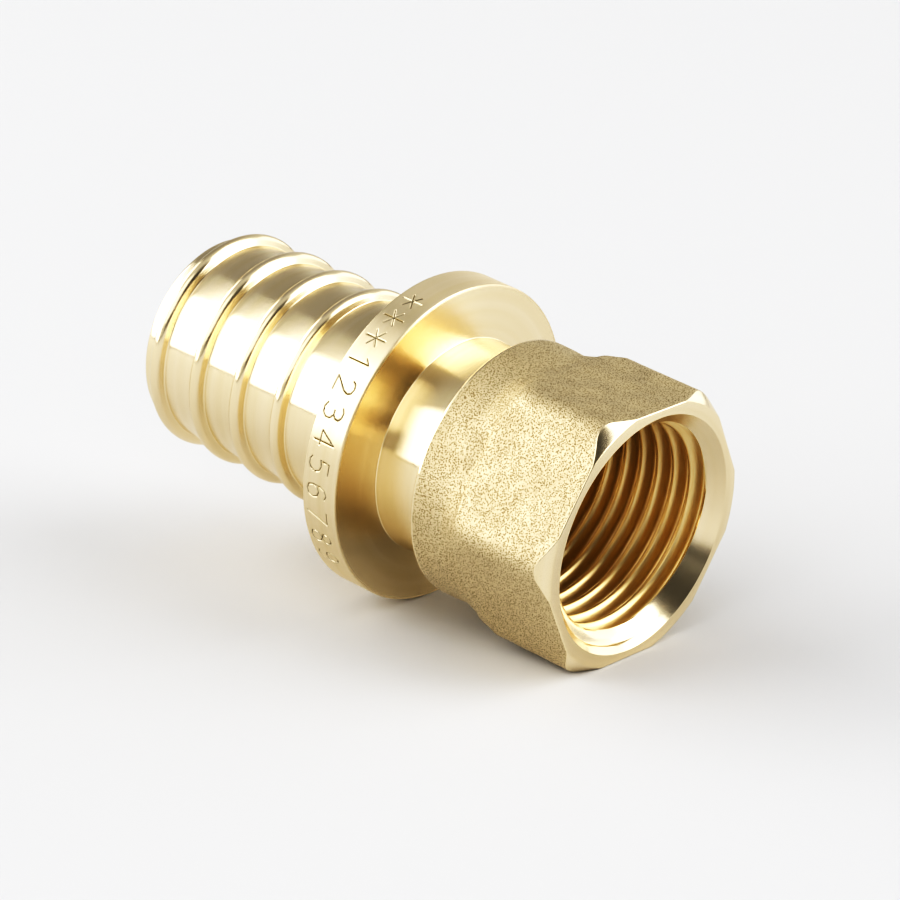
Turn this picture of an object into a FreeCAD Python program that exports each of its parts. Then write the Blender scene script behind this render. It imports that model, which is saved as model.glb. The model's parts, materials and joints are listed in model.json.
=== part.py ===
import FreeCAD, Part
import math
import os

# A brass adapter for 25 x 3.5 mm PEX pipe with a G 1/2 female thread, in one forged and turned piece.
# Sizes are in millimetres. Along the fitting's own axis, 0 is the front face of the collar,
# the thread opens towards plus and the pipe spigot points towards minus.

# Ribbed spigot that the pipe is pushed over
LAND_DIAMETER = 18.7
RIB_DIAMETER = 20.4
RIB_COUNT = 4
RIB_PITCH = 5.0
RIB_CREST_WIDTH = 0.3
RIB_CREST_ROUNDING = 0.45
RIB_ROOT_ROUNDING = 0.15
RIB_FLANK_ANGLE = 70.0
LAST_RIB_TO_COLLAR = 8.2
FIRST_RIB_TO_TIP = 2.05
TIP_ROUNDING = 0.65

# Collar that stops the sliding sleeve
COLLAR_DIAMETER = 29.6
COLLAR_WIDTH = 3.75
COLLAR_EDGE_ROUNDING = 0.15
COLLAR_FACE_RISE = 0.4
COLLAR_ROOT_ROUNDING = 0.25

# Turned neck between the collar and the forged body
NECK_DIAMETER = 20.0
NECK_END = 6.2
NECK_ROOT_ROUNDING = 0.3

# Forged body: a short round part that grows into a hexagon for the wrench
ROUND_DIAMETER = 23.9
ROUND_EDGE_ROUNDING = 0.15
ROUND_END = 9.7
FLATS_START = 11.8
CORNERS_FULL = 13.2
ACROSS_FLATS = 23.5
HEXAGON_CORNER_RADIUS = 3.2
SOFT_CORNER_RADIUS = 5.5
FRONT_END = 22.35

# Front end: the turned ring that seals, its outer chamfer and the mouth of the thread
END_RING_DIAMETER = 24.3
CORNER_CHAMFER_ANGLE = 45.0
MOUTH_DIAMETER = 22.0
MOUTH_CHAMFER_ANGLE = 45.0

# Inside: the thread's crests and the waterway behind them. The drill's point comes as near to the corner
# between neck and body as the neck's wall allows.
THREAD_CREST_DIAMETER = 18.63
DRILL_POINT_ANGLE = 118.0
NECK_WALL = 0.935
WATERWAY_DIAMETER = 16.0
TIP_BORE_CHAMFER = 0.4

SIDES = 6
SIDE_ANGLE = 2 * math.pi / SIDES

# How far the cutting shapes reach past what they cut
OVERRUN = 2.0

X_AXIS = FreeCAD.Vector(1, 0, 0)
Y_AXIS = FreeCAD.Vector(0, 1, 0)
ORIGIN = FreeCAD.Vector(0, 0, 0)


def rounded_corner(before, corner, after, radius):
    """Where a rounding of that radius starts, its middle and where it ends."""
    back = (before - corner).normalize()
    ahead = (after - corner).normalize()
    half_angle = back.getAngle(ahead) / 2
    tangent = radius / math.tan(half_angle)
    to_centre = radius / math.sin(half_angle)
    middle = corner + (back + ahead).normalize() * (to_centre - radius)
    return corner + back * tangent, middle, corner + ahead * tangent


def outline(points):
    """A closed wire in a plane through the axis. Each point is a place along the axis, a radius
    and, where the corner is rounded, the radius of its rounding."""
    corners = [FreeCAD.Vector(point[0], 0, point[1]) for point in points]
    roundings = [point[2] if len(point) > 2 else 0.0 for point in points]
    count = len(points)
    turns = [
        rounded_corner(corners[index - 1], corners[index], corners[(index + 1) % count], roundings[index])
        for index in range(count)
    ]
    edges = []
    for index, (start, middle, end) in enumerate(turns):
        if roundings[index] > 0:
            edges.append(Part.Arc(start, middle, end).toShape())
        edges.append(Part.makeLine(end, turns[(index + 1) % count][0]))
    return Part.Wire(edges)


def turned(points):
    """The solid that the outline makes when it turns about the fitting's axis."""
    return Part.Face(outline(points)).revolve(ORIGIN, X_AXIS, 360)


def rib_crests():
    """Middle of each rib along the axis, from the collar towards the tip."""
    nearest = -COLLAR_WIDTH - LAST_RIB_TO_COLLAR
    return [nearest - RIB_PITCH * index for index in range(RIB_COUNT)]


def tip_end():
    """Place of the spigot's end along the axis."""
    return rib_crests()[-1] - FIRST_RIB_TO_TIP


def rib_points(crest):
    """One rib of the spigot: a narrow crest, steep flanks and rounded corners."""
    height = (RIB_DIAMETER - LAND_DIAMETER) / 2
    top_half = RIB_CREST_WIDTH / 2 + RIB_CREST_ROUNDING * math.tan(math.radians(RIB_FLANK_ANGLE / 2))
    base_half = top_half + height / math.tan(math.radians(RIB_FLANK_ANGLE))
    return [
        (crest + base_half, LAND_DIAMETER / 2, RIB_ROOT_ROUNDING),
        (crest + top_half, RIB_DIAMETER / 2, RIB_CREST_ROUNDING),
        (crest - top_half, RIB_DIAMETER / 2, RIB_CREST_ROUNDING),
        (crest - base_half, LAND_DIAMETER / 2, RIB_ROOT_ROUNDING),
    ]


def turned_blank():
    """Spigot with its ribs, collar, neck and the round part of the forged body, still solid."""
    points = [
        (ROUND_END, 0),
        (ROUND_END, ROUND_DIAMETER / 2),
        (NECK_END, ROUND_DIAMETER / 2, ROUND_EDGE_ROUNDING),
        (NECK_END, NECK_DIAMETER / 2),
        (COLLAR_FACE_RISE, NECK_DIAMETER / 2, NECK_ROOT_ROUNDING),
        (0, COLLAR_DIAMETER / 2, COLLAR_EDGE_ROUNDING),
        (-COLLAR_WIDTH, COLLAR_DIAMETER / 2, COLLAR_EDGE_ROUNDING),
        (-COLLAR_WIDTH, LAND_DIAMETER / 2, COLLAR_ROOT_ROUNDING),
    ]
    for crest in rib_crests():
        points += rib_points(crest)
    points += [
        (tip_end(), LAND_DIAMETER / 2, TIP_ROUNDING),
        (tip_end(), 0),
    ]
    return turned(points)


def section(place, flat_half_width, flat_middle, flat_end, corner):
    """A closed wire across the axis, with a flat and a corner arc for each side. The three radii are
    those of a flat's middle, of its ends and of a corner. One flat faces up and one faces down."""
    def at(angle, radius):
        return FreeCAD.Vector(place, radius * math.sin(angle), radius * math.cos(angle))

    edges = []
    spread = math.atan2(flat_half_width, ACROSS_FLATS / 2)
    for side in range(SIDES):
        middle = side * SIDE_ANGLE
        flat_from = at(middle - spread, flat_end)
        flat_to = at(middle + spread, flat_end)
        next_from = at(middle + SIDE_ANGLE - spread, flat_end)
        if flat_middle < flat_end:
            edges.append(Part.makeLine(flat_from, flat_to))
        else:
            edges.append(Part.Arc(flat_from, at(middle, flat_middle), flat_to).toShape())
        edges.append(Part.Arc(flat_to, at(middle + SIDE_ANGLE / 2, corner), next_from).toShape())
    return Part.Wire(edges)


def flat_half_width(corner_radius):
    """Half the straight part of a hexagon's side, between two rounded corners."""
    return (ACROSS_FLATS / 2 - corner_radius) * math.tan(SIDE_ANGLE / 2)


def hexagon_section(place, corner_radius):
    """The hexagon across the axis, with its corners rounded by that radius."""
    apothem = ACROSS_FLATS / 2
    half_width = flat_half_width(corner_radius)
    corner = (apothem - corner_radius) / math.cos(SIDE_ANGLE / 2) + corner_radius
    return section(place, half_width, apothem, math.hypot(apothem, half_width), corner)


def round_section(place):
    """The round part's circle, split where the soft hexagon's flats and corners meet."""
    radius = ROUND_DIAMETER / 2
    return section(place, flat_half_width(SOFT_CORNER_RADIUS), radius, radius, radius)


def forged_body():
    """The body from where it stops being round: its corners grow out of the circle in two steps,
    and the lathe has turned off the hexagon's front corners."""
    hexagon = hexagon_section(CORNERS_FULL, HEXAGON_CORNER_RADIUS)
    sections = [
        round_section(ROUND_END),
        hexagon_section(FLATS_START, SOFT_CORNER_RADIUS),
        hexagon,
    ]
    transition = Part.makeLoft(sections, True, True)
    prism = Part.Face(hexagon).extrude(X_AXIS * (FRONT_END - CORNERS_FULL))
    return transition.fuse(prism).common(corner_cutter())


def corner_cutter():
    """What the lathe leaves of the hexagon: all inside the chamfer that starts at the end ring."""
    widest = ACROSS_FLATS / 2 / math.cos(SIDE_ANGLE / 2) + OVERRUN
    ring_radius = END_RING_DIAMETER / 2
    chamfer_start = FRONT_END - (widest - ring_radius) * math.tan(math.radians(CORNER_CHAMFER_ANGLE))
    back = min(ROUND_END, chamfer_start) - OVERRUN
    return turned([
        (back, 0),
        (back, widest),
        (chamfer_start, widest),
        (FRONT_END, ring_radius),
        (FRONT_END, 0),
    ])


def bores():
    """Everything cut from the inside: the mouth's chamfer, thread bore, drill point and waterway."""
    crest_radius = THREAD_CREST_DIAMETER / 2
    mouth_radius = MOUTH_DIAMETER / 2
    waterway_radius = WATERWAY_DIAMETER / 2
    mouth_slope = math.tan(math.radians(MOUTH_CHAMFER_ANGLE))
    mouth_depth = (mouth_radius - crest_radius) / mouth_slope
    point_slope = math.tan(math.radians(DRILL_POINT_ANGLE / 2))
    radius_at_neck_end = NECK_DIAMETER / 2 - NECK_WALL
    thread_back = NECK_END + (crest_radius - radius_at_neck_end) / point_slope
    drill_depth = (crest_radius - waterway_radius) / point_slope
    return turned([
        (FRONT_END + OVERRUN, 0),
        (FRONT_END + OVERRUN, mouth_radius + OVERRUN * mouth_slope),
        (FRONT_END - mouth_depth, crest_radius),
        (thread_back, crest_radius),
        (thread_back - drill_depth, waterway_radius),
        (tip_end() + TIP_BORE_CHAMFER, waterway_radius),
        (tip_end() - OVERRUN, waterway_radius + TIP_BORE_CHAMFER + OVERRUN),
        (tip_end() - OVERRUN, 0),
    ])


def laid_down(shape):
    """The fitting as it lies on a table, on the collar's rim and the front edge of its lower flat,
    with the origin under the middle of its box."""
    turned_off = max(0.0, (ACROSS_FLATS - END_RING_DIAMETER) / 2)
    flat_front = FRONT_END - turned_off * math.tan(math.radians(CORNER_CHAMFER_ANGLE))
    rim_front = -COLLAR_EDGE_ROUNDING
    drop = (COLLAR_DIAMETER - ACROSS_FLATS) / 2
    tilt = math.degrees(math.atan2(drop, flat_front - rim_front))
    lying = shape.copy()
    lying.rotate(ORIGIN, Y_AXIS, tilt)
    box = lying.optimalBoundingBox(False)
    lying.translate(FreeCAD.Vector(-box.Center.x, -box.Center.y, -box.ZMin))
    return lying


def adapter_body():
    """The whole fitting, in one solid."""
    blank = turned_blank().fuse(forged_body())
    return laid_down(blank.cut(bores()).removeSplitter())


os.makedirs("parts", exist_ok=True)
body = adapter_body()
print("solids", len(body.Solids), "valid", body.isValid(), "volume", round(body.Volume, 1))
body.exportStep("parts/adapter_body.step")
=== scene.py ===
import json
import math

import bpy
import numpy as np
from bpy.props import FloatProperty, FloatVectorProperty, IntProperty, PointerProperty, StringProperty
from mathutils import Matrix, Vector


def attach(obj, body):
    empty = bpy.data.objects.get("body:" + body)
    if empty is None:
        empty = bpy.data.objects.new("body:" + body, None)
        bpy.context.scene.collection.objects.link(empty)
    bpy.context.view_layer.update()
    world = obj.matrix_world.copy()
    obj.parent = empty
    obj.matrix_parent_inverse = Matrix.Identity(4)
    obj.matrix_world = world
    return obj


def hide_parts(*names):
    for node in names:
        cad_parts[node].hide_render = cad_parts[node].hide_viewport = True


bl_info = {
    "name": "Brass pipe adapter",
    "version": (1, 0, 0),
    "blender": (4, 5, 0),
    "location": "3D View > Sidebar > Adapter",
    "description": "Makes a forged and turned brass pipe adapter with ribs, collar, hexagon and thread",
    "category": "Object",
}

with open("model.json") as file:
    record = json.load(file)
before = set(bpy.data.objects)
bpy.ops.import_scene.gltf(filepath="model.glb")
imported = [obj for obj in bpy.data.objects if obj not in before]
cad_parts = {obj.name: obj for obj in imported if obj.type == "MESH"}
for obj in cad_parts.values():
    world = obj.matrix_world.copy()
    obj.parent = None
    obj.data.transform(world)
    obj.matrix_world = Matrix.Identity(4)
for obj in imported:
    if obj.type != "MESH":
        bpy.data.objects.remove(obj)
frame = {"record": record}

MM = 0.001
TURN = 2 * math.pi
SIDE = TURN / 6

# The fitting's own axis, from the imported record: it dips to the threaded end.
# Along it, 0 is the collar's front face and plus is towards the thread.
THREAD_FRONT = 20.665 * MM
THREAD_MOUNT = next(mount for mount in frame["record"]["mounts"] if mount["name"] == "female_thread")
THREAD_MIDDLE = THREAD_FRONT - THREAD_MOUNT["dims"]["length_mm"] / 2 * MM
AXIS = np.array(THREAD_MOUNT["axis"], float)
UP = np.array([-AXIS[2], 0.0, AXIS[0]])
NEAR = np.cross(AXIS, UP)
ORIGIN = np.array(THREAD_MOUNT["pos_m"], float) - AXIS * THREAD_MIDDLE

# Finishes of the faces, and points in a ring of the spigot, the body and the thread
TURNED, FORGED, THREADED = 0, 1, 2
SPIGOT_COLUMNS, BODY_COLUMNS, THREAD_COLUMNS = 128, 288, 192

# Steps round the collar's rim, under the roll mark and elsewhere
MARK_STEP, RIM_STEP = math.radians(0.225), math.radians(2.0)

# Rows along the forged body: up to the shoulder's foot, over the shoulder, over the growing corners and on
# to the chamfer. Then the rows across the rim, and the steps of a rounding's arc and of one on the rim.
RUN_ROWS, SHOULDER_ROWS, GROWTH_ROWS, HEXAGON_ROWS, RIM_ROWS = 16, 3, 5, 26, 45
ARC_STEPS, RIM_ARC_STEPS = 5, 4

# Where the bands of rows end on the collar's two faces, in edge roundings in from its rim
SPIGOT_ENDS, RIM_BACK_ENDS, RIM_FRONT_ENDS, BODY_ENDS = 4, 3, 2, 3

# How far a softened crease reaches, its greatest share of the chamfer, and how far outside the mouth the
# end ring's last row lies. Edges sharper than the angle stay sharp.
CREASE_REACH, CREASE_SHARE, RING_MARGIN = 0.09 * MM, 0.4, 0.12 * MM
SHARP_ANGLE = math.radians(32)

# The forged skin's unevenness: seed, number of waves, their most turns round the body and most radians
# along a metre, the sum that counts as high, and the length of the fading at both ends
WAVE_SEED, WAVE_COUNT, WAVE_TURNS, WAVE_LENGTHWISE, WAVE_SUM = 7, 28, 46, 3400, 6
WAVE_FADE = 0.8 * MM

# The thread's form: half the angle between its flanks, and the rounding of crest and root in pitches
HALF_ANGLE = math.radians(27.5)
THREAD_ROUNDING = 0.137329

# Places of the thread's rows in one turn, in pitches: on the crest's arc, the flanks and the root's arc
THREAD_ROWS = np.array([0.0, 0.061, 0.122, 0.207, 0.293, 0.378, 0.439,
                        0.5, 0.561, 0.622, 0.707, 0.793, 0.878, 0.939])

# Range that a noise mostly keeps to
MIDDLE = (0.3, 0.7)

# The mix node's data, and the numbers of its two inputs and its output, for colours and for values
COLOURS, VALUES = ("RGBA", 6, 7, 2), ("FLOAT", 2, 3, 0)

# Soft lights, all at one distance in metres: name, panels, and in degrees the azimuth of the middle, half
# the width, and the lowest and highest elevation
LIGHT_DISTANCE = 1.3
SOFT_LIGHTS = (
    ("left", 2, (-150, 41, 2, 49)),
    ("near", 1, (-62, 28, 17, 66)),
    ("right", 1, (73, 23, 1, 29)),
    ("strip", 1, (31, 19, 1, 29)),
    ("key", 2, (38, 28, 30, 67)),
)

# Shades of the room, in degrees: azimuth and elevation of the middle, and how far from it the shade is
# whole and how far it reaches
CAMERA_SHADE = (-22, 20, 22, 49)
BACK_SHADE = (146, 48, 8, 40)

# The dark edge just above the floor: elevations in degrees where it ends and where the room is bright, and
# its share of the room's light. Then the room's brightness when seen straight, and half the floor's side.
EDGE_ENDS, ROOM_STARTS, EDGE_SHARE = 1.2, 2, 0.1
PLAIN_ROOM, FLOOR_HALF = 0.95, 6.0

# Light and how brightly it is shown, as in the photograph: deep tones are held down, bright ones lifted
TONE_CURVE = ((0.08, 0.01), (0.15, 0.035), (0.24, 0.1), (0.33, 0.2), (0.5, 0.445), (0.73, 0.755),
              (0.86, 0.888))


def length(name, description, millimetres):
    """A size that is edited in the sidebar, in Blender's own length unit."""
    return FloatProperty(name=name, description=description, default=millimetres * MM, min=0.0,
                         precision=5, unit="LENGTH")


def angle(name, description, degrees):
    """An angle that is edited in the sidebar."""
    return FloatProperty(name=name, description=description, default=math.radians(degrees), subtype="ANGLE")


def share(name, description, value, highest=1.0):
    """A plain number from 0 to its highest."""
    return FloatProperty(name=name, description=description, default=value, min=0.0, max=highest)


def colour(name, description, value):
    """A colour in linear light."""
    return FloatVectorProperty(name=name, description=description, default=value, size=3, subtype="COLOR",
                               min=0.0, max=1.0)


class AdapterSpigot(bpy.types.PropertyGroup):
    """Ribbed spigot that the pipe is pushed over, and the waterway through it."""

    land_diameter: length("Land diameter", "Diameter between the ribs", 18.7)
    rib_diameter: length("Rib diameter", "Diameter of the ribs' crests", 20.4)
    rib_count: IntProperty(name="Ribs", description="How many ribs there are", default=4, min=1)
    rib_pitch: length("Rib pitch", "From one rib to the next", 5.0)
    rib_crest_width: length("Crest width", "Straight part of a rib's crest", 0.06)
    rib_crest_rounding: length("Crest rounding", "Rounding of a rib's crest", 0.6)
    rib_root_rounding: length("Root rounding", "Rounding where a rib meets the land", 0.15)
    rib_flank_angle: angle("Flank angle", "Steepness of a rib's sides", 70.0)
    last_rib_to_collar: length("Last rib to collar", "From the collar's back to the nearest rib", 8.2)
    first_rib_to_tip: length("First rib to tip", "From the farthest rib to the spigot's end", 2.05)
    tip_rounding: length("Tip rounding", "Rounding of the spigot's end", 0.65)
    tip_bore_chamfer: length("Bore chamfer", "Chamfer of the waterway at the spigot's end", 0.4)
    waterway_diameter: length("Waterway", "Diameter of the waterway", 16.0)


class AdapterCollar(bpy.types.PropertyGroup):
    """Collar that stops the sleeve, its roll mark, and the neck in front of it."""

    diameter: length("Diameter", "Collar's diameter", 29.6)
    width: length("Width", "Collar's width", 3.75)
    edge_rounding: length("Edge rounding", "Rounding of the collar's edges", 0.15)
    face_rise: length("Face rise", "How much the front face slopes to the neck", 0.4)
    root_rounding: length("Root rounding", "Rounding between spigot and collar", 0.25)
    neck_diameter: length("Neck diameter", "Diameter of the turned neck", 20.0)
    neck_root_rounding: length("Neck rounding", "Rounding between neck and collar", 0.12)
    neck_end: length("Neck end", "Where the neck meets the forged body", 6.2)
    mark: StringProperty(name="Roll mark", description="Stars and plain numbers rolled into the rim",
                         default="***123456789")
    mark_start: angle("Mark start", "Middle of the first character, from straight up", 19.0)
    mark_pitch: angle("Mark pitch", "From one character to the next", 9.6)
    mark_height: length("Mark height", "Height of the characters", 2.2)
    mark_foot: length("Mark foot", "From the collar's back to the characters' feet", 0.55)
    mark_stroke: length("Stroke width", "Width of a rolled stroke", 0.09)
    mark_depth: length("Stroke depth", "Depth of a rolled stroke", 0.11)
    mark_edge: length("Stroke edge", "Width of a stroke's sloping edge", 0.08)


class AdapterBody(bpy.types.PropertyGroup):
    """Forged body: a short round part that grows into a hexagon, and its turned front end."""

    round_diameter: length("Round diameter", "Diameter of the round part", 23.9)
    round_edge_rounding: length("Round edge", "Rounding of the round part's edge", 0.15)
    round_end: length("Round end", "Where the corners begin to grow", 9.7)
    flats_start: length("Flats start", "Where the flats reach their width", 11.8)
    shoulder_depth: length("Shoulder depth", "How far the skin sinks before the hexagon's shoulder", 0.17)
    shoulder_rise: length("Shoulder rise", "Length over which the shoulder comes up again", 0.35)
    shoulder_run: length("Shoulder run", "Length over which the skin sinks before the shoulder", 4.5)
    corners_full: length("Corners full", "Where the corners are fully grown", 13.2)
    across_flats: length("Across flats", "Width of the hexagon", 23.5)
    corner_radius: length("Corner radius", "Rounding of the hexagon's corners", 2.4)
    soft_corner_radius: length("Soft corner radius", "Rounding of the corners where they begin", 5.0)
    front_end: length("Front end", "Where the fitting ends at the thread", 22.35)
    end_ring_diameter: length("End ring", "Diameter where the corners' chamfer meets the end", 24.3)
    edge_break: length("Edge break", "Smallest chamfer of the end's outer edge", 0.08)
    crease_softness: share("Crease softness", "Softness of the forged creases", 0.04)
    skin_waves: length("Skin waves", "Height of the forged skin's unevenness", 0.03)


class AdapterThread(bpy.types.PropertyGroup):
    """Inside thread and the bore behind it."""

    mouth_diameter: length("Mouth", "Diameter of the mouth's chamfer", 22.0)
    crest_diameter: length("Crest diameter", "Inside diameter of the thread", 18.63)
    root_depth: length("Thread depth", "From the thread's crest to its root", 1.16)
    pitch: length("Pitch", "From one turn to the next", 1.814)
    hole_depth: length("Hole depth", "Depth of the threaded hole", 16.0)
    fade: length("Runout", "Where the thread fades out at its inner end", 3.0)
    start: angle("Start", "Where the thread's first turn begins", 0.0)
    drill_point: angle("Drill point", "Angle of the drill's point behind the thread", 118.0)


class AdapterFinish(bpy.types.PropertyGroup):
    """Colours and roughness of the brass, with painted shade in the forged pits and in the roll mark."""

    brass: colour("Brass", "Colour of turned brass", (0.92, 0.81, 0.605))
    brass_deep: colour("Deep brass", "Darker tone of turned brass", (0.88, 0.765, 0.54))
    forged: colour("Forged brass", "Colour of the blasted skin", (0.71, 0.622, 0.452))
    # painted shade: the darker colour at the pits' floors stands in for shade in the hollows
    forged_pit_shade: colour("Painted pit shade", "Darker tone in the blasted skin's pits", (0.33, 0.265, 0.145))
    # painted shade: the strokes' bottoms darken by their depth, standing in for shade in the recess
    mark_painted_shade: colour("Painted mark shade", "Tone at the bottom of the roll mark", (0.30, 0.27, 0.19))
    thread: colour("Thread brass", "Colour of the brass inside the thread", (0.94, 0.80, 0.51))
    thread_deep: colour("Deep thread brass", "Darker tone inside the thread", (0.90, 0.70, 0.37))
    turned_roughness: share("Turned roughness", "Roughness of turned brass", 0.21)
    rim_roughness: share("Rim roughness", "How much rougher the collar's rolled rim is", 0.16)
    forged_roughness: share("Forged roughness", "Roughness of the blasted skin", 0.6)
    thread_roughness: share("Thread roughness", "Roughness inside the thread", 0.35)
    grain: length("Grain", "Size of the blasted skin's grain", 0.15)


class AdapterStudio(bpy.types.PropertyGroup):
    """Camera, floor and light."""

    azimuth: angle("Azimuth", "Camera's direction round the object", 41.31)
    elevation: angle("Elevation", "Camera's height above the horizon", 19.37)
    roll: angle("Roll", "Camera's lean", 0.6)
    distance: length("Distance", "From the camera to the object", 388.1)
    aim_right: length("Aim right", "How far the camera aims right of the collar's middle", 0.016)
    aim_below: length("Aim below", "How far the camera aims below the collar's middle", 0.59)
    lens: FloatProperty(name="Lens", description="Focal length in millimetres", default=176.5, min=1.0)
    floor: colour("Floor", "Colour of the floor", (0.73, 0.73, 0.735))
    left_light: share("Left light", "Brightness of the wide soft light on the left", 2.35, 100.0)
    near_light: share("Near light", "Brightness of the tall soft light by the camera", 1.08, 100.0)
    right_light: share("Right light", "Brightness of the low soft light on the right", 0.85, 100.0)
    strip_light: share("Strip light", "Brightness of the low soft light at the threaded end", 3.3, 100.0)
    key_light: share("Key light", "Brightness of the high soft light on the right", 1.8, 100.0)
    room_light: share("Room light", "Brightness of the pale room", 0.82, 100.0)
    camera_shade: share("Camera shade", "How much darker the room is right of the camera", 0.82)
    back_shade: share("Back shade", "How much darker the room is high up behind", 0.4)


def on_fitting(x, radius, beta):
    """Points at x along the fitting's axis, at a radius from it and turned by beta from straight up
    towards the viewer: origin + x * axis + radius * (cos(beta) * up + sin(beta) * near)."""
    x, radius, beta = np.broadcast_arrays(x, radius, beta)
    out = np.cos(beta)[..., None] * UP + np.sin(beta)[..., None] * NEAR
    return ORIGIN + x[..., None] * AXIS + radius[..., None] * out


def even_turn(count):
    """That many equal steps round the axis, from straight up."""
    return np.arange(count) * TURN / count


class Skin:
    """One closed surface, put together from rings of points round the axis, from the inside over the
    spigot's tip to the outside and back in at the mouth. Along a ring the points follow beta."""

    def __init__(self):
        self.points, self.marks, self.quads, self.triangles = [], [], [], []
        self.count = 0

    def rings(self, x, radius, beta, mark=0.0):
        """Adds rows of points, one row to a ring, and returns their numbers as rows and columns. The mark
        is how deep each point lies in the roll mark, from 0 to 1."""
        points = on_fitting(x, radius, beta)
        self.marks.append(np.broadcast_to(mark, points.shape[:-1]).ravel())
        rows, columns = points.shape[:2]
        numbers = self.count + np.arange(rows * columns).reshape(rows, columns)
        self.points.append(points.reshape(-1, 3))
        self.count += rows * columns
        return numbers

    def cover(self, numbers, finish):
        """Closes the grid of numbers with four-cornered faces, round the ring and on to the next."""
        here, there = numbers[:-1], numbers[1:]
        after_here, after_there = np.roll(here, -1, axis=1), np.roll(there, -1, axis=1)
        faces = np.stack([here, after_here, after_there, there], axis=-1).reshape(-1, 4)
        self.quads.append((faces, np.full(len(faces), finish)))

    def bridge(self, first, first_beta, second, second_beta, finish):
        """Joins two rings with different numbers of points: each edge of a ring goes with the point of
        the other that lies just before the edge's end, counted by angle."""
        first_ends = np.append(first_beta[1:], first_beta[0] + TURN)
        second_ends = np.append(second_beta[1:], second_beta[0] + TURN)
        partner = np.searchsorted(second_ends, first_ends, side="left") % len(second)
        over = np.stack([first, np.roll(first, -1), second[partner]], axis=-1)
        partner = np.searchsorted(first_ends, second_ends, side="right") % len(first)
        under = np.stack([first[partner], np.roll(second, -1), second], axis=-1)
        faces = np.concatenate([over, under])
        self.triangles.append((faces, np.full(len(faces), finish)))

    def mesh(self, name, sharp):
        """The Blender mesh, smooth but for edges sharper than that angle."""
        quads = np.concatenate([faces for faces, _ in self.quads])
        triangles = np.concatenate([faces for faces, _ in self.triangles])
        finishes = np.concatenate([kinds for _, kinds in self.quads + self.triangles])
        corners = np.concatenate([quads.ravel(), triangles.ravel()])
        sizes = np.concatenate([np.full(len(quads), 4), np.full(len(triangles), 3)])
        used, corners = np.unique(corners, return_inverse=True)
        points = np.concatenate(self.points)[used]
        marks = np.concatenate(self.marks)[used]
        mesh = bpy.data.meshes.new(name)
        mesh.vertices.add(len(points))
        mesh.vertices.foreach_set("co", points.ravel())
        mesh.loops.add(len(corners))
        mesh.loops.foreach_set("vertex_index", corners)
        mesh.polygons.add(len(sizes))
        mesh.polygons.foreach_set("loop_start", np.cumsum(sizes) - sizes)
        mesh.polygons.foreach_set("material_index", finishes)
        mesh.update(calc_edges=True)
        if mesh.validate():
            raise RuntimeError(f"{name} has a face that isn't right")
        mesh.attributes.new("mark", "FLOAT", "POINT").data.foreach_set("value", marks)
        mesh.polygons.foreach_set("use_smooth", np.ones(len(sizes), bool))
        mesh.set_sharp_from_angle(angle=sharp)
        return mesh


def carried_profile(corners, steps):
    """A line of (x, radius) corners, each with a rounding: the rounding's arc touches both runs at
    rounding / tan(half the corner's angle) from the corner, and is cut into that many steps."""
    places = np.array([corner[:2] for corner in corners])
    roundings = [corner[2] for corner in corners[1:]]
    line = [places[:1]]
    for before, corner, after, rounding in zip(places, places[1:], places[2:], roundings):
        if rounding <= 0:
            line.append(corner[None])
            continue
        back, ahead = before - corner, after - corner
        back, ahead = back / np.linalg.norm(back), ahead / np.linalg.norm(ahead)
        half = math.acos(float(np.clip(back @ ahead, -1, 1))) / 2
        middle = (back + ahead) / np.linalg.norm(back + ahead)
        centre = corner + middle * rounding / math.sin(half)
        swing = np.linspace(half - math.pi / 2, math.pi / 2 - half, steps + 1)[:, None]
        side = ahead - middle * (ahead @ middle)
        side = side / np.linalg.norm(side)
        line.append(centre + rounding * (side * np.sin(swing) - middle * np.cos(swing)))
    line.append(places[-1:])
    line = np.concatenate(line)
    return line[:, 0], line[:, 1]


def spigot_profile(spigot, collar, body, thread):
    """Corners from the threaded hole's end, down the waterway, round the tip, over the ribs and up
    the collar's back, as (x, radius, rounding)."""
    land, rib = spigot.land_diameter / 2, spigot.rib_diameter / 2
    water, crest = spigot.waterway_diameter / 2, thread.crest_diameter / 2
    hole_end = body.front_end - thread.hole_depth
    nearest = -collar.width - spigot.last_rib_to_collar
    crests = [nearest - spigot.rib_pitch * index for index in range(spigot.rib_count)]
    tip = crests[-1] - spigot.first_rib_to_tip
    top = spigot.rib_crest_width / 2 + spigot.rib_crest_rounding * math.tan(spigot.rib_flank_angle / 2)
    foot = top + (rib - land) / math.tan(spigot.rib_flank_angle)
    corners = [
        (hole_end, crest, 0.0),
        (hole_end - (crest - water) / math.tan(thread.drill_point / 2), water, 0.0),
        (tip + spigot.tip_bore_chamfer, water, 0.0),
        (tip, water + spigot.tip_bore_chamfer, 0.0),
        (tip, land, spigot.tip_rounding),
    ]
    for place in reversed(crests):
        corners += [
            (place - foot, land, spigot.rib_root_rounding),
            (place - top, rib, spigot.rib_crest_rounding),
            (place + top, rib, spigot.rib_crest_rounding),
            (place + foot, land, spigot.rib_root_rounding),
        ]
    return corners + [
        (-collar.width, land, collar.root_rounding),
        (-collar.width, collar.diameter / 2 - SPIGOT_ENDS * collar.edge_rounding, 0.0),
    ]


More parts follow.
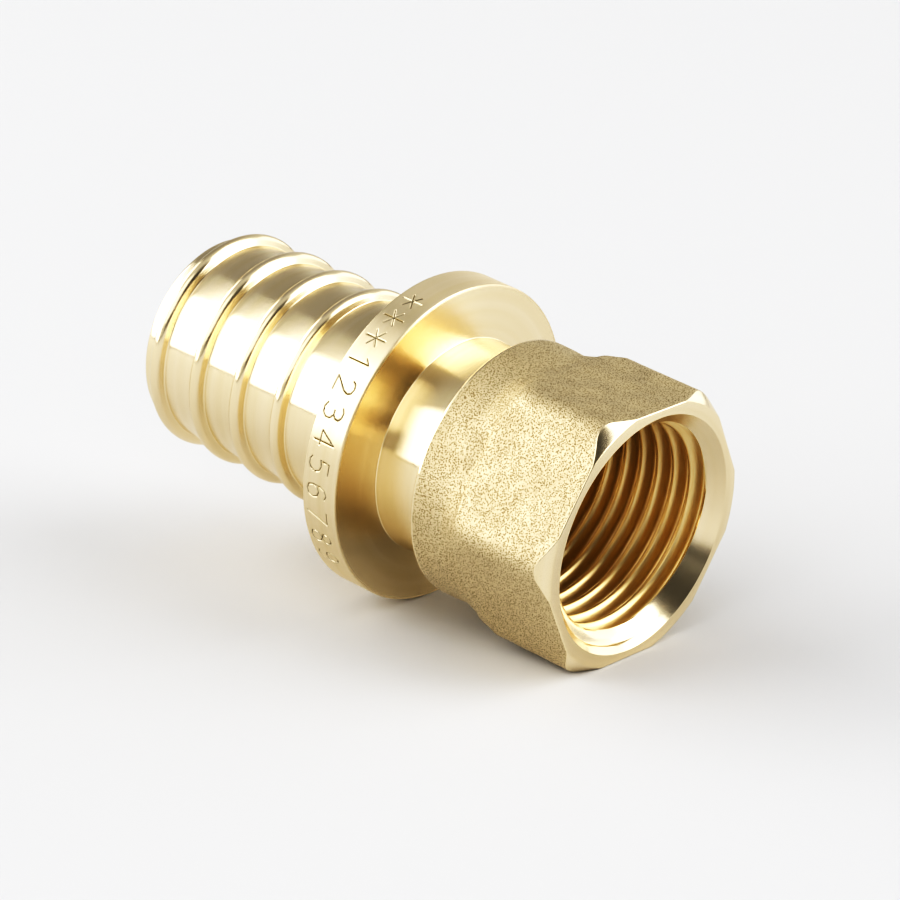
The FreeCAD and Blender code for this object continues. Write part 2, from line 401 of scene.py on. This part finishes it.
# Plain characters in a cell one high: each is a few strokes, each stroke a line through its points
STROKES = {
    "1": [[(0.1, 0.78), (0.34, 1), (0.34, 0)]],
    "2": [[(0.02, 0.8), (0.1, 0.94), (0.3, 1), (0.5, 0.93), (0.58, 0.75), (0.5, 0.55), (0.02, 0),
           (0.6, 0)]],
    "3": [[(0.03, 0.9), (0.2, 1), (0.42, 0.98), (0.55, 0.84), (0.53, 0.66), (0.4, 0.56), (0.22, 0.54)],
          [(0.4, 0.56), (0.57, 0.42), (0.58, 0.2), (0.45, 0.04), (0.22, 0), (0.02, 0.1)]],
    "4": [[(0.44, 0), (0.44, 1), (0, 0.3), (0.6, 0.3)]],
    "5": [[(0.55, 1), (0.1, 1), (0.06, 0.56), (0.3, 0.62), (0.5, 0.54), (0.58, 0.34), (0.52, 0.12),
           (0.34, 0), (0.15, 0), (0.02, 0.1)]],
    "6": [[(0.52, 0.92), (0.34, 1), (0.14, 0.9), (0.03, 0.66), (0.02, 0.3), (0.1, 0.07), (0.3, 0),
           (0.5, 0.08), (0.58, 0.3), (0.5, 0.52), (0.3, 0.6), (0.1, 0.52), (0.03, 0.36)]],
    "7": [[(0, 1), (0.58, 1), (0.2, 0)]],
    "8": [[(0.3, 0.54), (0.1, 0.64), (0.06, 0.82), (0.14, 0.95), (0.3, 1), (0.46, 0.95), (0.54, 0.82),
           (0.5, 0.64), (0.3, 0.54), (0.08, 0.42), (0.02, 0.24), (0.1, 0.06), (0.3, 0), (0.5, 0.06),
           (0.58, 0.24), (0.52, 0.42), (0.3, 0.54)]],
    "9": [[(0.57, 0.64), (0.5, 0.48), (0.3, 0.4), (0.1, 0.48), (0.02, 0.7), (0.1, 0.92), (0.3, 1),
           (0.5, 0.93), (0.58, 0.7), (0.57, 0.34), (0.46, 0.1), (0.26, 0), (0.08, 0.08)]],
    "0": [[(0.3, 1), (0.1, 0.9), (0.02, 0.66), (0.02, 0.34), (0.1, 0.1), (0.3, 0), (0.5, 0.1),
           (0.58, 0.34), (0.58, 0.66), (0.5, 0.9), (0.3, 1)]],
    "*": [[(0.3, 0.02), (0.3, 0.98)], [(-0.06, 0.28), (0.66, 0.72)], [(-0.06, 0.72), (0.66, 0.28)]],
}
CELL_MIDDLE = 0.30


def roll_mark(collar, along, up):
    """How deep the roll mark is, from 0 to 1, at arc length along the rim and height up from the
    characters' feet. It is half as deep half a stroke's width off a stroke's line, and changes there
    over the edge's width by t * t * (3 - 2 * t)."""
    nearest = np.full(along.shape, np.inf)
    for index, character in enumerate(collar.mark):
        middle = (collar.mark_start + index * collar.mark_pitch) * collar.diameter / 2
        for stroke in STROKES.get(character, []):
            line = (np.array(stroke) - (CELL_MIDDLE, 0)) * collar.mark_height + (middle, 0)
            for start, end in zip(line, line[1:]):
                run = end - start
                part = ((along - start[0]) * run[0] + (up - start[1]) * run[1]) / (run @ run)
                part = np.clip(part, 0, 1)
                off = np.hypot(along - start[0] - part * run[0], up - start[1] - part * run[1])
                nearest = np.minimum(nearest, off)
    slope = np.clip((collar.mark_stroke / 2 + collar.mark_edge / 2 - nearest) / collar.mark_edge, 0, 1)
    return slope * slope * (3 - 2 * slope)


def rim_turn(collar):
    """Steps round the rim: fine ones under the roll mark and coarser ones elsewhere."""
    first = collar.mark_start - collar.mark_pitch
    last = collar.mark_start + collar.mark_pitch * len(collar.mark)
    return np.concatenate([
        np.arange(0, first, RIM_STEP),
        np.arange(first, last, MARK_STEP),
        np.linspace(last, TURN, int((TURN - last) / RIM_STEP), endpoint=False),
    ])


def rows_after(start, end, count):
    """That many evenly spaced places after the start, up to the end."""
    return np.linspace(start, end, count + 1)[1:]


def face_corner(collar, roundings):
    """A corner on the collar's front face, that many edge roundings in from the rim."""
    inward = roundings * collar.edge_rounding
    slope = collar.face_rise / (collar.diameter / 2 - collar.neck_diameter / 2)
    return slope * inward, collar.diameter / 2 - inward, 0.0


def rim_rows(collar):
    """Rows from the collar's back over its rim to the front face, as x and radius. The rows between the
    two edges keep two roundings off them."""
    edge, outer = collar.edge_rounding, collar.diameter / 2
    back_x, back_radius = carried_profile([
        (-collar.width, outer - RIM_BACK_ENDS * edge, 0.0),
        (-collar.width, outer, edge),
        (-collar.width + 2 * edge, outer, 0.0),
    ], RIM_ARC_STEPS)
    front_x, front_radius = carried_profile([
        (-2 * edge, outer, 0.0),
        (0.0, outer, edge),
        face_corner(collar, RIM_FRONT_ENDS),
    ], RIM_ARC_STEPS)
    middle_x = rows_after(back_x[-1], front_x[0], RIM_ROWS)[:-1]
    x = np.concatenate([back_x, middle_x, front_x])
    radius = np.concatenate([back_radius, np.full(len(middle_x), outer), front_radius])
    return x[:, None], radius[:, None]


def hexagon_radius(beta, apothem, corner):
    """Radius of a hexagon with rounded corners and one flat straight up: apothem / cos(angle from the
    flat's middle) on a flat, and on a corner the ray's far cut with the corner's circle."""
    off_flat = np.abs(np.mod(beta + SIDE / 2, SIDE) - SIDE / 2)
    off_corner = SIDE / 2 - off_flat
    reach = (apothem - corner) / math.cos(SIDE / 2)
    half_flat = math.atan((apothem - corner) * math.tan(SIDE / 2) / apothem)
    on_corner = reach * np.cos(off_corner)
    on_corner += np.sqrt(np.maximum(corner ** 2 - (reach * np.sin(off_corner)) ** 2, 0))
    return np.where(off_flat <= half_flat, apothem / np.cos(off_flat), on_corner)


def soft_ramp(x, start, end, softness):
    """0 before the start and 1 beyond the end, straight in between, with both bends softened by a
    hyperbola. The softness is a share of the ramp's length."""
    value = (x - start) / (end - start)
    return (np.hypot(value, softness) - np.hypot(value - 1, softness) + 1) / 2


def forged_radius(body, x, beta):
    """Radius of the forged body: a circle that becomes a soft hexagon and then the full hexagon, each
    a straight blend along the axis with softened creases. Before the flats' start the skin sinks a
    little along a straight line and comes up again in a steep one."""
    circle, apothem = body.round_diameter / 2, body.across_flats / 2
    soft = hexagon_radius(beta, apothem, body.soft_corner_radius)
    full = hexagon_radius(beta, apothem, body.corner_radius)
    growing = soft_ramp(x, body.round_end, body.flats_start, body.crease_softness)
    filling = soft_ramp(x, body.flats_start, body.corners_full, body.crease_softness)
    foot = body.flats_start - body.shoulder_rise
    sunk = np.interp(x, [foot - body.shoulder_run, foot, body.flats_start], [0, body.shoulder_depth, 0])
    return circle + (soft - circle) * growing + (full - soft) * filling - sunk


def skin_waves(x, beta, height):
    """Unevenness of the forged skin, never proud of it: a sum of sine waves in all directions over the
    unrolled surface, scaled to lie between minus the height and 0."""
    chance = np.random.default_rng(WAVE_SEED)
    waves = np.zeros(np.broadcast(x, beta).shape)
    for _ in range(WAVE_COUNT):
        turns = chance.integers(-WAVE_TURNS, WAVE_TURNS + 1)
        lengthwise = chance.uniform(-1, 1) * WAVE_LENGTHWISE
        waves += np.sin(turns * beta + lengthwise * x + chance.uniform(0, TURN))
    return height * (np.tanh(waves / WAVE_SUM) - 1) / 2


def thread_depth(thread, place):
    """Depth of the thread outward from its crest, for a place along the axis counted in pitches from a
    crest: an arc over the crest, a straight flank and the same arc in the root."""
    touch = THREAD_ROUNDING * math.cos(HALF_ANGLE)
    rise = THREAD_ROUNDING * (1 - math.sin(HALF_ANGLE))
    full = 2 * rise + (0.5 - 2 * touch) / math.tan(HALF_ANGLE)

    def arc(reach):
        return np.sqrt(np.maximum(THREAD_ROUNDING ** 2 - np.minimum(reach, touch) ** 2, 0))

    off = np.abs(np.mod(place + 0.5, 1) - 0.5)
    crest = THREAD_ROUNDING - arc(off)
    root = full - THREAD_ROUNDING + arc(0.5 - off)
    flank = rise + (off - touch) / math.tan(HALF_ANGLE)
    depth = np.where(off < touch, crest, np.where(off > 0.5 - touch, root, flank))
    return depth / full * thread.root_depth


def thread_radius(body, thread, x, beta):
    """Radius of the hole: the thread's helix, which fades out at its inner end, or the mouth's cone
    where that is wider."""
    place = (x - thread.pitch * (beta - thread.start) / TURN) / thread.pitch
    inner = np.clip((x - body.front_end + thread.hole_depth) / thread.fade, 0, 1)
    helix = thread.crest_diameter / 2 + thread_depth(thread, place) * inner * inner * (3 - 2 * inner)
    cone = thread.mouth_diameter / 2 - (body.front_end - x)
    return np.maximum(helix, cone)


def add_thread(skin, body, thread):
    """The threaded hole as rows that follow the helix: x falls by the row's place in pitches and grows by
    one pitch a turn, and is held at the hole's two ends. Returns the ring at the mouth and at the back."""
    front, back = body.front_end, body.front_end - thread.hole_depth
    per_turn = len(THREAD_ROWS)
    beta = even_turn(THREAD_COLUMNS)
    # whole pitches beyond the front, so that the rows lie on the thread's own crests and roots
    lead = math.ceil(front / thread.pitch + 1) * thread.pitch
    turns = math.ceil((lead - back) / thread.pitch) + 1
    places = (np.arange(turns)[:, None] + THREAD_ROWS).ravel()
    x = lead - places[:, None] * thread.pitch + thread.pitch * (beta - thread.start)[None] / TURN
    held = np.clip(x, back, front)
    numbers = skin.rings(held, thread_radius(body, thread, held, beta[None]), beta[None])
    rows = np.arange(len(x))[:, None] + np.zeros((1, THREAD_COLUMNS), int)
    # rows held at an end share that end's ring
    at_front, at_back = x >= front, x <= back
    rows = np.where(at_front, 0, np.where(at_back, len(x) - 1, rows))
    shared = np.take_along_axis(numbers, rows, axis=0)
    # one column past the last is the first one again, a turn further on
    step = np.clip(np.arange(len(x)) - per_turn, 0, None)
    wide = np.concatenate([shared, shared[step, :1]], axis=1)
    faces = np.stack([wide[:-1, :-1], wide[:-1, 1:], wide[1:, 1:], wide[1:, :-1]], axis=-1).reshape(-1, 4)
    # the mouth's cone is turned smooth, and the thread starts behind it
    on_cone = np.zeros(skin.count, bool)
    on_cone[numbers] = held > front - (thread.mouth_diameter - thread.crest_diameter) / 2
    kinds = np.where(on_cone[faces].all(axis=1), TURNED, THREADED)
    same = faces == np.roll(faces, -1, axis=1)
    whole = same.sum(axis=1) == 0
    cut = same.sum(axis=1) == 1
    skin.quads.append((faces[whole], kinds[whole]))
    skin.triangles.append((faces[cut][~same[cut]].reshape(-1, 3), kinds[cut]))
    return shared[0], shared[-1], beta


def bend(start, corner, end):
    """Middle of a smooth bend: a quarter of both ends and half of the corner."""
    return 0.25 * start + 0.5 * corner + 0.25 * end


def chamfer(body, beta):
    """The chamfer on the forged body's front edge, for each beta: the radius before it, its width and how
    far its softened creases reach."""
    flat = hexagon_radius(beta, body.across_flats / 2, body.corner_radius)
    width = np.maximum(flat - body.end_ring_diameter / 2, body.edge_break)
    return flat, width, np.minimum(CREASE_REACH, CREASE_SHARE * width)


def front_rows(body, thread, beta):
    """Rows over the front end, for each beta: round the crease at the chamfer's foot, up the chamfer to
    the end ring, over its edge and across the ring. Returns x and radius as rows and columns."""
    flat, width, soft = chamfer(body, beta)
    front = np.full(beta.shape, body.front_end)
    foot = np.stack([front - width, flat])
    edge = np.stack([front, flat - width])
    inside = np.stack([front, np.full(beta.shape, thread.mouth_diameter / 2 + RING_MARGIN)])
    along, out = np.array([[1.0], [0.0]]), np.array([[0.0], [1.0]])
    slope = (along - out) / math.sqrt(2)
    before, after = foot - along * soft, foot + slope * soft
    low, high = edge - slope * soft, edge - out * soft
    return np.stack([
        before, bend(before, foot, after), after,
        (after + low) / 2,
        low, bend(low, edge, high), high,
        (high + inside) / 2, inside,
    ], axis=1)


def body_rows(body, collar, beta):
    """Rows from the collar's front face over the neck and the forged body up to the chamfer's crease,
    as x and radius in rows and columns, and how many of them come before the forged skin."""
    neck, circle = collar.neck_diameter / 2, body.round_diameter / 2
    skin_start = collar.neck_end + 2 * body.round_edge_rounding
    x, radius = carried_profile([
        face_corner(collar, BODY_ENDS),
        (collar.face_rise, neck, collar.neck_root_rounding),
        (collar.neck_end, neck, 0.0),
        (collar.neck_end, circle, body.round_edge_rounding),
        (skin_start, circle, 0.0),
    ], ARC_STEPS)
    turned = len(x)
    x, radius = [np.repeat(line[:, None], len(beta), axis=1) for line in (x, radius)]
    _, width, soft = chamfer(body, beta)
    crease = body.front_end - width - soft
    foot = body.flats_start - body.shoulder_rise
    back = np.concatenate([
        rows_after(skin_start, foot, RUN_ROWS),
        rows_after(foot, body.flats_start, SHOULDER_ROWS),
        rows_after(body.flats_start, body.corners_full, GROWTH_ROWS),
    ])[:, None] + 0 * beta
    fore = rows_after(0, 1, HEXAGON_ROWS)[:-1, None] * (crease - body.corners_full) + body.corners_full
    forged_x = np.concatenate([back, fore])
    forged = forged_radius(body, forged_x, beta[None])
    fade = np.clip((forged_x - skin_start) / WAVE_FADE, 0, 1)
    fade = fade * np.clip((crease - forged_x) / WAVE_FADE, 0, 1)
    forged = forged + fade * skin_waves(forged_x, beta[None], body.skin_waves)
    return np.concatenate([x, forged_x]), np.concatenate([radius, forged]), turned


def fitting_mesh(scene):
    """The whole fitting as one closed surface: each band's rows are a profile carried round the axis,
    and the bands are bridged where the number of points changes."""
    spigot, collar = scene.adapter_spigot, scene.adapter_collar
    body, thread = scene.adapter_body, scene.adapter_thread
    skin = Skin()

    spigot_beta = even_turn(SPIGOT_COLUMNS)
    x, radius = carried_profile(spigot_profile(spigot, collar, body, thread), ARC_STEPS)
    spigot_rings = skin.rings(x[:, None], radius[:, None], spigot_beta[None])
    skin.cover(spigot_rings, TURNED)

    rim_beta = rim_turn(collar)
    x, radius = rim_rows(collar)
    up = x + collar.width - collar.mark_foot
    mark = roll_mark(collar, *np.broadcast_arrays(rim_beta[None] * collar.diameter / 2, up))
    rim_rings = skin.rings(x, radius - collar.mark_depth * mark, rim_beta[None], mark)
    skin.cover(rim_rings, TURNED)
    skin.bridge(spigot_rings[-1], spigot_beta, rim_rings[0], rim_beta, TURNED)

    body_beta = even_turn(BODY_COLUMNS)
    body_x, body_radius, turned = body_rows(body, collar, body_beta)
    body_rings = skin.rings(body_x, body_radius, body_beta[None])
    skin.cover(body_rings[:turned], TURNED)
    skin.cover(body_rings[turned - 1:], FORGED)
    skin.bridge(rim_rings[-1], rim_beta, body_rings[0], body_beta, TURNED)

    front_rings = skin.rings(*front_rows(body, thread, body_beta), body_beta[None])
    skin.cover(np.concatenate([body_rings[-1:], front_rings[:1]]), FORGED)
    skin.cover(front_rings, TURNED)

    mouth, hole_end, thread_beta = add_thread(skin, body, thread)
    skin.bridge(front_rings[-1], body_beta, mouth, thread_beta, TURNED)
    skin.bridge(hole_end, thread_beta, spigot_rings[0], spigot_beta, THREADED)
    return skin.mesh("adapter_skin", SHARP_ANGLE)


class Nodes:
    """A node tree in the making, with short calls for its nodes."""

    def __init__(self, tree):
        self.tree = tree
        self.tree.nodes.clear()

    def fill(self, socket, value):
        """Gives a socket another node's output, or a plain value."""
        if isinstance(value, bpy.types.NodeSocket):
            self.tree.links.new(value, socket)
        elif socket.type == "RGBA":
            socket.default_value = (*value, 1)
        elif socket.type == "VECTOR":
            socket.default_value = tuple(value)
        else:
            socket.default_value = value

    def add(self, kind, output, inputs=None, **settings):
        """Adds a node with its settings, fills its inputs by name or number and returns one output."""
        node = self.tree.nodes.new("ShaderNode" + kind)
        for name, value in settings.items():
            setattr(node, name, value)
        for key, value in (inputs or {}).items():
            self.fill(node.inputs[key], value)
        return node.outputs[output]

    def vector_math(self, operation, first, second=(0, 0, 0)):
        """One step of vector arithmetic."""
        output = "Value" if operation in {"DOT_PRODUCT", "LENGTH"} else "Vector"
        return self.add("VectorMath", output, {0: first, 1: second}, operation=operation)

    def arithmetic(self, operation, first, second):
        """One step of arithmetic with two numbers."""
        return self.add("Math", "Value", {0: first, 1: second}, operation=operation)

    def noise(self, vector, size, detail):
        """Soft random pattern, about 0.5 in the middle."""
        return self.add("TexNoise", "Fac", {"Vector": vector, "Scale": 1 / size, "Detail": detail})

    def cells(self, vector, size):
        """Distance to the nearest of many scattered points, in cells of that size."""
        return self.add("TexVoronoi", "Distance", {"Vector": vector, "Scale": 1 / size})

    def spread(self, value, low, high, to_low, to_high, easing="LINEAR"):
        """Maps a value from one range to another, held at the ends."""
        ends = {"Value": value, "From Min": low, "From Max": high, "To Min": to_low, "To Max": to_high}
        return self.add("MapRange", "Result", ends, interpolation_type=easing)

    def blend(self, factor, first, second, kind=COLOURS):
        """Mixes two colours or two values by a factor."""
        data_type, under, over, result = kind
        return self.add("Mix", result, {0: factor, under: first, over: second}, data_type=data_type)


class Finish(Nodes):
    """A material in the making: a node tree with one shader."""

    def __init__(self, name):
        self.material = bpy.data.materials.new(name)
        self.material.use_nodes = True
        super().__init__(self.material.node_tree)
        self.shader = self.tree.nodes.new("ShaderNodeBsdfPrincipled")
        output = self.tree.nodes.new("ShaderNodeOutputMaterial")
        self.fill(output.inputs["Surface"], self.shader.outputs["BSDF"])
        self.place = self.add("TexCoord", "Object")

    def set(self, **values):
        """Fills the shader's own sockets."""
        for key, value in values.items():
            self.fill(self.shader.inputs[key.replace("_", " ")], value)

    def bump(self, height, distance, strength, under=None):
        """Fine relief from a height between 0 and 1, over another relief if there is one."""
        inputs = {"Height": height, "Distance": distance, "Strength": strength}
        if under is not None:
            inputs["Normal"] = under
        return self.add("Bump", "Normal", inputs)

    def tool_rings(self, drift):
        """For each point, its place in a pattern of rings round the axis that changes slowly along the
        drift, its distance from the axis and the direction round it."""
        offset = self.vector_math("SUBTRACT", self.place, ORIGIN)
        along = self.vector_math("DOT_PRODUCT", offset, AXIS)
        around = self.vector_math("CROSS_PRODUCT", AXIS, offset)
        out = self.vector_math("LENGTH", around)
        side = self.vector_math("DOT_PRODUCT", self.place, drift)
        rings = self.add("CombineXYZ", "Vector", {0: along, 1: out, 2: side})
        return rings, out, self.vector_math("NORMALIZE", around)


def turned_brass(finish, rim_radius):
    """Bright brass off the lathe: fine rings round the axis, a soft streak of tone along them, and a
    gloss that spreads across the rings. The collar's rim is rougher from its rolling."""
    made = Finish("turned brass")
    rings, out, around = made.tool_rings(drift=NEAR * 0.03)
    fine = made.noise(rings, size=0.09 * MM, detail=1.0)
    broad = made.noise(rings, size=0.8 * MM, detail=3.0)
    tone = made.blend(made.spread(broad, *MIDDLE, 0, 1), finish.brass, finish.brass_deep)
    rolled = made.add("Attribute", "Fac", attribute_name="mark")
    least, most = finish.turned_roughness * 0.95, finish.turned_roughness * 1.05
    rim_starts, rim_whole = rim_radius - 0.3 * MM, rim_radius - 0.15 * MM
    rougher = made.spread(out, rim_starts, rim_whole, 0, finish.rim_roughness)
    made.set(
        # painted shade in the roll mark, darker where a stroke is deeper
        Base_Color=made.blend(rolled, tone, finish.mark_painted_shade),
        Roughness=made.arithmetic("ADD", made.spread(broad, *MIDDLE, least, most), rougher),
        Normal=made.bump(fine, distance=0.004 * MM, strength=0.6),
        Tangent=around, Metallic=1.0, Anisotropic=0.9, Anisotropic_Rotation=0.25,
    )
    return made.material


def forged_brass(finish):
    """Blasted forging: close-set pits under a slightly coarser unevenness, matt, with painted shade
    darkening the pits. Floor, edge and rim are distances from a pit's middle, in cells."""
    made = Finish("forged brass")
    pits = made.cells(made.place, size=finish.grain)
    uneven = made.noise(made.place, size=1.3 * finish.grain, detail=2.0)
    broad = made.noise(made.place, size=2.2 * MM, detail=2.0)
    floor, edge, rim = 0.22, 0.5, 0.6
    least, most = finish.forged_roughness * 0.92, finish.forged_roughness * 1.1
    pitted = made.bump(made.spread(pits, 0.0, rim, 0, 1), distance=0.03 * MM, strength=1.0)
    made.set(
        # painted shade in the pits: the colour darkens from a pit's edge to its floor
        Base_Color=made.blend(made.spread(pits, floor, edge, 1, 0), finish.forged, finish.forged_pit_shade),
        Roughness=made.spread(broad, *MIDDLE, least, most),
        Normal=made.bump(uneven, distance=0.04 * MM, strength=1.0, under=pitted),
        Metallic=1.0,
    )
    return made.material


def threaded_brass(finish):
    """Brass inside the thread: fine tool rings, in relief and in tone."""
    made = Finish("threaded brass")
    rings, _, _ = made.tool_rings(drift=UP * 0.05)
    fine = made.noise(rings, size=0.12 * MM, detail=2.0)
    made.set(
        Base_Color=made.blend(made.spread(fine, *MIDDLE, 0, 1), finish.thread, finish.thread_deep),
        Normal=made.bump(fine, distance=0.006 * MM, strength=0.5),
        Metallic=0.85, Roughness=finish.thread_roughness,
    )
    return made.material


class ADAPTER_OT_fitting(bpy.types.Operator):
    """Make the brass fitting with its ribs, roll mark, hexagon and thread"""

    bl_idname = "adapter.fitting"
    bl_label = "Make the fitting"

    def execute(self, context):
        scene = context.scene
        fitting = bpy.data.objects.new("brass_fitting", fitting_mesh(scene))
        scene.collection.objects.link(fitting)
        finish = scene.adapter_finish
        turned = turned_brass(finish, scene.adapter_collar.diameter / 2)
        for material in (turned, forged_brass(finish), threaded_brass(finish)):
            fitting.data.materials.append(material)
        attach(fitting, "root")
        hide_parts("adapter_body")
        return {"FINISHED"}


def facing(right, up, back, place):
    """Place and turn of something: its right, its up and the way its back points."""
    turned = Matrix((right, up, back)).transposed().to_4x4()
    turned.translation = place
    return turned


def soft_light(scene, name, panels, angles, radiance):
    """A soft light as upright panels side by side on a circle round the fitting, within the angles that
    SOFT_LIGHTS explains. A panel's power is radiance * area * pi."""
    azimuth, half_width, low, high = map(math.radians, angles)
    half_panel = half_width / panels
    width = 2 * LIGHT_DISTANCE * math.tan(half_panel)
    bottom, top = LIGHT_DISTANCE * math.tan(low), LIGHT_DISTANCE * math.tan(high)
    for index in range(panels):
        data = bpy.data.lights.new(f"{name} softbox {index + 1}", "AREA")
        data.shape = "RECTANGLE"
        data.size, data.size_y = width, top - bottom
        data.energy = radiance * math.pi * width * (top - bottom)
        light = bpy.data.objects.new(data.name, data)
        turn = azimuth + (2 * index + 1 - panels) * half_panel
        out = Vector((math.cos(turn), math.sin(turn), 0))
        place = out * LIGHT_DISTANCE + Vector((0, 0, (top + bottom) / 2))
        light.matrix_world = facing(Vector((0, 0, 1)).cross(out), Vector((0, 0, 1)), out, place)
        scene.collection.objects.link(light)


def shaded(made, way, angles, shade):
    """Brightness that falls from 1 by the shade round one direction, at the angles of one of the shades."""
    azimuth, elevation, whole, reach = map(math.radians, angles)
    level = math.cos(elevation)
    middle = (math.cos(azimuth) * level, math.sin(azimuth) * level, math.sin(elevation))
    towards = made.vector_math("DOT_PRODUCT", way, middle)
    return made.spread(towards, math.cos(reach), math.cos(whole), 1.0, 1 - shade, "SMOOTHSTEP")


def room(scene, studio):
    """The pale room: even, but dark right of the camera, high up behind and just above the floor's edge."""
    world = bpy.data.worlds.new("room")
    world.use_nodes = True
    made = Nodes(world.node_tree)
    way = made.add("TexCoord", "Generated")
    height = made.add("SeparateXYZ", "Z", {0: way})
    low, high = math.sin(math.radians(EDGE_ENDS)), math.sin(math.radians(ROOM_STARTS))
    bright = made.spread(height, low, high, EDGE_SHARE * studio.room_light, studio.room_light)
    for angles, shade in ((CAMERA_SHADE, studio.camera_shade), (BACK_SHADE, studio.back_shade)):
        bright = made.arithmetic("MULTIPLY", bright, shaded(made, way, angles, shade))
    straight = made.add("LightPath", "Is Camera Ray")
    shown = made.blend(straight, bright, PLAIN_ROOM, VALUES)
    paint = made.add("Background", "Background", {"Strength": shown})
    output = made.tree.nodes.new("ShaderNodeOutputWorld")
    made.fill(output.inputs["Surface"], paint)
    scene.world = world


def photo_tone(scene):
    """Shows colours plainly, through the tone curve: the last of the four curves is for all colours."""
    view = scene.view_settings
    view.view_transform = "Standard"
    view.use_curve_mapping = True
    curve = view.curve_mapping.curves[-1]
    for light, shown in TONE_CURVE:
        curve.points.new(light, shown).handle_type = "AUTO_CLAMPED"
    view.curve_mapping.update()


def pale_floor(scene, tint):
    """A plain matt floor under the fitting."""
    mesh = bpy.data.meshes.new("floor")
    corners = [(x * FLOOR_HALF, y * FLOOR_HALF, 0) for x, y in ((-1, -1), (1, -1), (1, 1), (-1, 1))]
    mesh.from_pydata(corners, [], [(0, 1, 2, 3)])
    floor = bpy.data.objects.new("floor", mesh)
    scene.collection.objects.link(floor)
    paper = Finish("pale paper")
    paper.set(Base_Color=tint, Roughness=0.85, Specular_IOR_Level=0.2)
    mesh.materials.append(paper.material)


def photo_camera(scene, studio):
    """Camera at the photograph's angle, aimed close by the collar's middle."""
    turn, rise = studio.azimuth, studio.elevation
    back = Vector((math.sin(turn) * math.cos(rise), -math.cos(turn) * math.cos(rise), math.sin(rise)))
    level = Vector((math.cos(turn), math.sin(turn), 0))
    upright = back.cross(level)
    right = level * math.cos(studio.roll) + upright * math.sin(studio.roll)
    up = back.cross(right)
    aim = Vector(ORIGIN) + right * studio.aim_right - up * studio.aim_below
    data = bpy.data.cameras.new("photo camera")
    data.lens = studio.lens
    data.sensor_width = 36.0
    data.clip_start, data.clip_end = 0.01, 50.0
    camera = bpy.data.objects.new("photo camera", data)
    camera.matrix_world = facing(right, up, back, aim + back * studio.distance)
    scene.collection.objects.link(camera)
    scene.camera = camera


class ADAPTER_OT_stage(bpy.types.Operator):
    """Set up the floor, the soft lights and the camera"""

    bl_idname = "adapter.stage"
    bl_label = "Set the stage"

    def execute(self, context):
        scene, studio = context.scene, context.scene.adapter_studio
        pale_floor(scene, studio.floor)
        photo_tone(scene)
        for name, panels, angles in SOFT_LIGHTS:
            soft_light(scene, name, panels, angles, getattr(studio, name + "_light"))
        room(scene, studio)
        photo_camera(scene, studio)
        return {"FINISHED"}


GROUPS = {
    "adapter_spigot": AdapterSpigot,
    "adapter_collar": AdapterCollar,
    "adapter_body": AdapterBody,
    "adapter_thread": AdapterThread,
    "adapter_finish": AdapterFinish,
    "adapter_studio": AdapterStudio,
}


class ADAPTER_PT_panel(bpy.types.Panel):
    """Sizes and finishes of the adapter"""

    bl_idname = "ADAPTER_PT_panel"
    bl_label = "Brass pipe adapter"
    bl_space_type = "VIEW_3D"
    bl_region_type = "UI"
    bl_category = "Adapter"

    def draw(self, context):
        for attribute, group in GROUPS.items():
            box = self.layout.box()
            box.label(text=attribute.replace("_", " ").capitalize())
            for name in group.__annotations__:
                box.prop(getattr(context.scene, attribute), name)
        for operator in (ADAPTER_OT_fitting, ADAPTER_OT_stage):
            self.layout.operator(operator.bl_idname)


CLASSES = (*GROUPS.values(), ADAPTER_OT_fitting, ADAPTER_OT_stage, ADAPTER_PT_panel)


def register():
    """Makes the sizes, operators and panel known to Blender."""
    for kind in CLASSES:
        bpy.utils.register_class(kind)
    for attribute, group in GROUPS.items():
        setattr(bpy.types.Scene, attribute, PointerProperty(type=group))


def unregister():
    """Takes them out again."""
    for attribute in GROUPS:
        delattr(bpy.types.Scene, attribute)
    for kind in reversed(CLASSES):
        bpy.utils.unregister_class(kind)


def main():
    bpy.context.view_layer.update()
    register()
    bpy.ops.adapter.fitting()
    bpy.ops.adapter.stage()
    bpy.context.view_layer.update()


if __name__ == "__main__":
    main()
